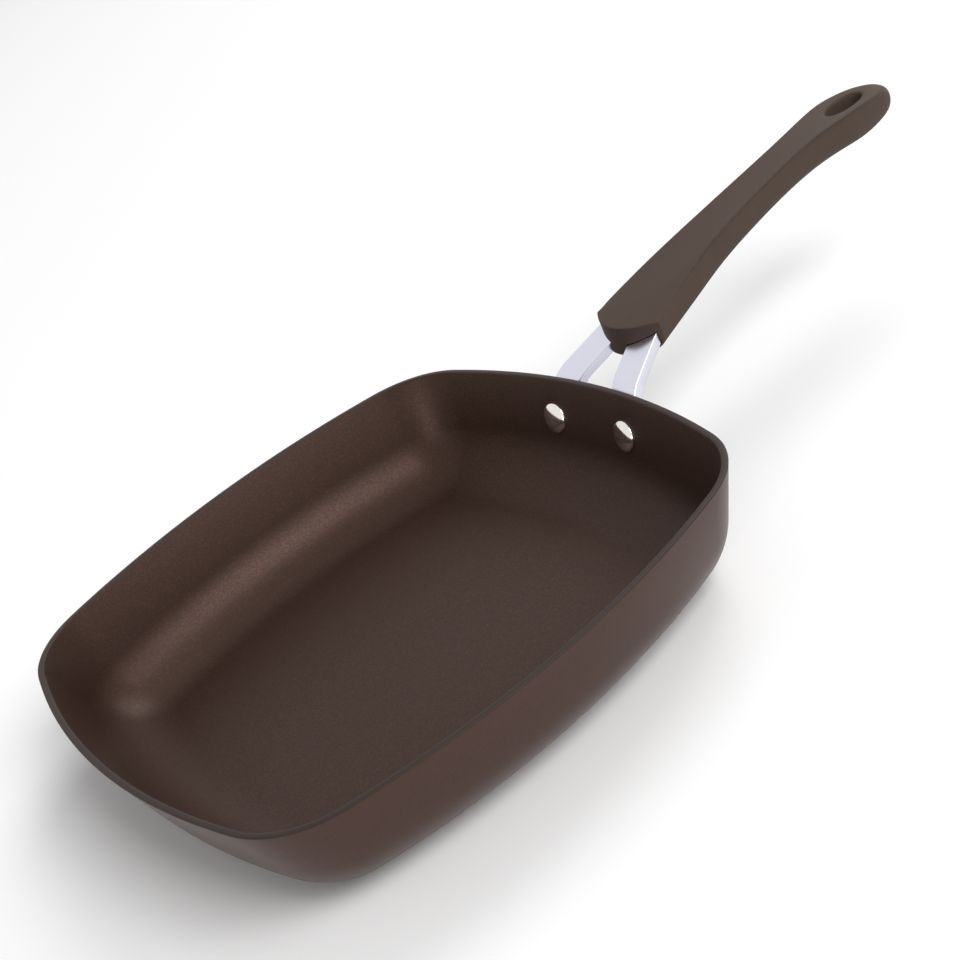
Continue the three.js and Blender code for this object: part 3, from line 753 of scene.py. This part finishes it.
def nonstick_coat():
    """Sprayed non-stick coat on aluminium: warm dark brown, a satin sheen broken by metallic
    flecks under a millimetre wide and by the faint peel of the spray."""
    material, tree, where = new_material("sprayed_nonstick_coat")
    cells = node(tree, "ShaderNodeTexVoronoi", {"Vector": where, "Scale": 1 / FLECK})
    hue = node(tree, "ShaderNodeSeparateColor", {"Color": cells.outputs["Color"]})
    fleck = node(tree, "ShaderNodeMapRange", {
        "Value": hue.outputs["Red"], "From Min": 0.62, "From Max": 1.0})
    colour = node(tree, "ShaderNodeMix", mix_colour(
        fleck.outputs["Result"], "#35231B", "#442C22"), data_type="RGBA")
    shine = node(tree, "ShaderNodeMapRange", {
        "Value": hue.outputs["Green"], "To Min": 0.38, "To Max": 0.5})
    peel = node(tree, "ShaderNodeTexNoise", {
        "Vector": where, "Scale": 1 / COAT_PEEL, "Detail": 2.0})
    bump = node(tree, "ShaderNodeBump", {
        "Height": peel.outputs["Fac"], "Strength": 0.5, "Distance": PEEL_HEIGHT})
    show(tree, node(tree, "ShaderNodeBsdfPrincipled", {
        "Base Color": colour.outputs[2], "Metallic": 0.45, "Roughness": shine.outputs["Result"],
        "IOR": 1.35, "Normal": bump.outputs["Normal"]}))
    return material


def baked_coat():
    """Sprayed and baked coat outside: a lighter grey brown, smoother than the inside, with a soft
    sheen along the bends and very fine specks."""
    material, tree, where = new_material("baked_coat_on_aluminium")
    specks = node(tree, "ShaderNodeTexNoise", {"Vector": where, "Scale": 1 / FLECK, "Detail": 3.0})
    share = node(tree, "ShaderNodeMapRange", {
        "Value": specks.outputs["Fac"], "From Min": 0.35, "From Max": 0.75})
    colour = node(tree, "ShaderNodeMix", mix_colour(
        share.outputs["Result"], "#402B24", "#4D372E"), data_type="RGBA")
    peel = node(tree, "ShaderNodeTexNoise", {
        "Vector": where, "Scale": 1 / COAT_PEEL, "Detail": 1.0})
    bump = node(tree, "ShaderNodeBump", {
        "Height": peel.outputs["Fac"], "Strength": 0.4, "Distance": PEEL_HEIGHT})
    show(tree, node(tree, "ShaderNodeBsdfPrincipled", {
        "Base Color": colour.outputs[2], "Metallic": 0.4, "Roughness": 0.36, "IOR": 1.4,
        "Normal": bump.outputs["Normal"]}))
    return material


def rim_coat():
    """Rim under the same baked coat, thin on its edges: a fine dull line, darker than the wall
    outside, with a fine grain."""
    material, tree, where = new_material("thin_baked_coat_on_rim")
    marks = node(tree, "ShaderNodeTexNoise", {"Vector": where, "Scale": 1 / GRAIN, "Detail": 2.0})
    colour = node(tree, "ShaderNodeMix", mix_colour(
        marks.outputs["Fac"], "#291D18", "#32251E"), data_type="RGBA")
    show(tree, node(tree, "ShaderNodeBsdfPrincipled", {
        "Base Color": colour.outputs[2], "Metallic": 0.3, "Roughness": 0.5, "IOR": 1.35}))
    return material


def bare_metal(name, light, dark, rough, smooth_rough, mark):
    """Bare or plated metal: marks of a given length, width and height change its tone a little
    and blur what it mirrors."""
    material, tree, where = new_material(name)
    along = node(tree, "ShaderNodeMapping", {"Vector": where, "Scale": [1 / size for size in mark]})
    marks = node(tree, "ShaderNodeTexNoise", {
        "Vector": along.outputs["Vector"], "Scale": 1.0, "Detail": 3.0})
    colour = node(tree, "ShaderNodeMix", mix_colour(
        marks.outputs["Fac"], dark, light), data_type="RGBA")
    shine = node(tree, "ShaderNodeMapRange", {
        "Value": marks.outputs["Fac"], "To Min": smooth_rough, "To Max": rough})
    show(tree, node(tree, "ShaderNodeBsdfPrincipled", {
        "Base Color": colour.outputs[2], "Metallic": 1.0, "Roughness": shine.outputs["Result"]}))
    return material


def soft_touch():
    """Moulded plastic with a soft-touch lacquer: matte grey brown with a grain finer than half a
    millimetre and broad, faint changes of sheen."""
    material, tree, where = new_material("soft_touch_moulding")
    broad = node(tree, "ShaderNodeTexNoise", {"Vector": where, "Scale": 1 / SMEAR, "Detail": 2.0})
    colour = node(tree, "ShaderNodeMix", mix_colour(
        broad.outputs["Fac"], "#43362F", "#4A3D35"), data_type="RGBA")
    shine = node(tree, "ShaderNodeMapRange", {
        "Value": broad.outputs["Fac"], "To Min": 0.6, "To Max": 0.72})
    grain = node(tree, "ShaderNodeTexNoise", {"Vector": where, "Scale": 1 / GRAIN, "Detail": 1.0})
    bump = node(tree, "ShaderNodeBump", {
        "Height": grain.outputs["Fac"], "Strength": 0.35, "Distance": PEEL_HEIGHT})
    show(tree, node(tree, "ShaderNodeBsdfPrincipled", {
        "Base Color": colour.outputs[2], "Roughness": shine.outputs["Result"], "IOR": 1.45,
        "Specular IOR Level": 0.2, "Normal": bump.outputs["Normal"]}))
    return material


def paper_floor():
    """Matt white paper: takes the shadow and nothing else."""
    material, tree, where = new_material("matt_white_paper")
    fibre = node(tree, "ShaderNodeTexNoise", {"Vector": where, "Scale": 1 / GRAIN, "Detail": 2.0})
    colour = node(tree, "ShaderNodeMix", mix_colour(
        fibre.outputs["Fac"], "#FAFAFA", "#FDFDFD"), data_type="RGBA")
    show(tree, node(tree, "ShaderNodeBsdfPrincipled", {
        "Base Color": colour.outputs[2], "Roughness": 0.9}))
    return material


# Pieces in place, each with its finish, and the solids they stand for hidden

def dress(piece, material, slot, *nodes):
    """Give a piece its finish and its place on the body, and hide the solids it stands for."""
    piece.data.materials.clear()
    piece.data.materials.append(material)
    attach(piece, "root")
    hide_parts(*nodes)


OUTSIDE, RIM = 1, 2  # places of the shell's other two finishes, after the one inside

shell = pan_shell()
dress(shell, nonstick_coat(), "coated_aluminium", "pan_body")
shell.data.materials.append(baked_coat())
shell.data.materials.append(rim_coat())
for face in shell.data.polygons:
    if face.center.z > RIM_Z - RIM_EDGE:
        face.material_index = RIM
    elif face.normal.z < 0:
        face.material_index = OUTSIDE

# Polished rivets: near mirrors that show the lights as bright spots
polished = bare_metal("pressed_polished_rivet", "#F0EBE6", "#DDD6D0", 0.14, 0.08, (SMEAR,) * 3)
rivet_left = rivet()
rivet_right = mirrored(rivet_left, "rivet_dome_right")
dress(rivet_left, polished, "polished_rivet", "rivet_left")
dress(rivet_right, polished, "polished_rivet", "rivet_right")

# Brushed strap: long fine marks give a pale, cool, soft sheen
bracket = handle_fork()
dress(bracket, bare_metal("satin_stainless_strap", "#DEDEEA", "#CFCFDC", 0.3, 0.2, BRUSH),
      "stainless_steel", "handle_fork")

handle = grip()
dress(handle, soft_touch(), "soft_touch_grip", "grip")

# Zinc plating and turned brass: an even fine grain that dulls the shine
zinc = bare_metal("zinc_plated_steel", "#C2C5CA", "#A9ACB2", 0.42, 0.3, (GRAIN,) * 3)
dress(screw(), zinc, "zinc_steel", "fixing_screw")
dress(ring("spring_washer", WASHER_RADIUS, WASHER_TOP - WASHER_THICKNESS, WASHER_TOP), zinc,
      "zinc_steel", "lock_washer")
dress(ring("brass_insert", INSERT_RADIUS, INSERT_BOTTOM, INSERT_TOP),
      bare_metal("turned_brass", "#C6A45A", "#AE8C45", 0.35, 0.25, (GRAIN,) * 3),
      "brass", "threaded_insert")


# Floor, world, lights and camera

FLOOR_SIZE = 12
FLOOR_GAP = 0.1 * MM  # so that the base and the floor do not lie in one plane
AMBIENT = 0.38  # strength of the world for diffuse light
BACKDROP = 1.0  # strength that shows as white
LENS = 59.475  # in millimetres, as is the sensor
SENSOR_WIDTH = 36
CAMERA_PLACE = Vector((-0.2084, -0.5634, 0.3823))
CAMERA_DIRECTION = Vector((0.388, 0.7934, -0.469))
CAMERA_ROLL = math.radians(-25.2)

bpy.ops.object.select_all(action="DESELECT")
bpy.ops.mesh.primitive_plane_add(size=FLOOR_SIZE, location=(0, 0, -FLOOR_GAP))
floor = bpy.context.object
floor.name = "floor"
floor.data.materials.append(paper_floor())

world = bpy.data.worlds.new("studio")
bpy.context.scene.world = world
world.use_nodes = True
air = world.node_tree
air.nodes.clear()
rays = node(air, "ShaderNodeLightPath", {})
ambient = node(air, "ShaderNodeBackground", {"Color": linear("#FFFFFF"), "Strength": AMBIENT})
backdrop = node(air, "ShaderNodeBackground", {"Color": linear("#FFFFFF"), "Strength": BACKDROP})
mirrored_sky = node(air, "ShaderNodeMixShader", {
    0: rays.outputs["Is Glossy Ray"], 1: ambient.outputs[0], 2: backdrop.outputs[0]})
seen = node(air, "ShaderNodeMixShader", {
    0: rays.outputs["Is Camera Ray"], 1: mirrored_sky.outputs[0], 2: backdrop.outputs[0]})
node(air, "ShaderNodeOutputWorld", {"Surface": seen.outputs[0]})


def softbox(name, place, target, size, watts):
    """A square area light aimed at a point."""
    light = bpy.data.lights.new(name, "AREA")
    light.size = size
    light.energy = watts
    lamp = bpy.data.objects.new(name, light)
    bpy.context.scene.collection.objects.link(lamp)
    lamp.location = place
    lamp.rotation_euler = (Vector(target) - Vector(place)).to_track_quat("-Z", "Y").to_euler()


softbox("key_softbox", (1.5, -4.6, 4.8), (0.1, 0, 0), 4.0, 320)
softbox("back_softbox", (4.2, 1.8, 4.2), (0.1, 0, 0), 3.0, 130)
softbox("side_kicker", (-3.4, -1.9, 0.7), (0.1, 0.1, 0.03), 0.8, 32)

lens = bpy.data.cameras.new("camera")
lens.sensor_width = SENSOR_WIDTH
lens.lens = LENS
camera = bpy.data.objects.new("camera", lens)
bpy.context.scene.collection.objects.link(camera)
camera.matrix_world = (Matrix.Translation(CAMERA_PLACE)
                       @ CAMERA_DIRECTION.to_track_quat("-Z", "Y").to_matrix().to_4x4()
                       @ Matrix.Rotation(CAMERA_ROLL, 4, "Z"))
bpy.context.scene.camera = camera
bpy.context.scene.view_settings.view_transform = "Standard"
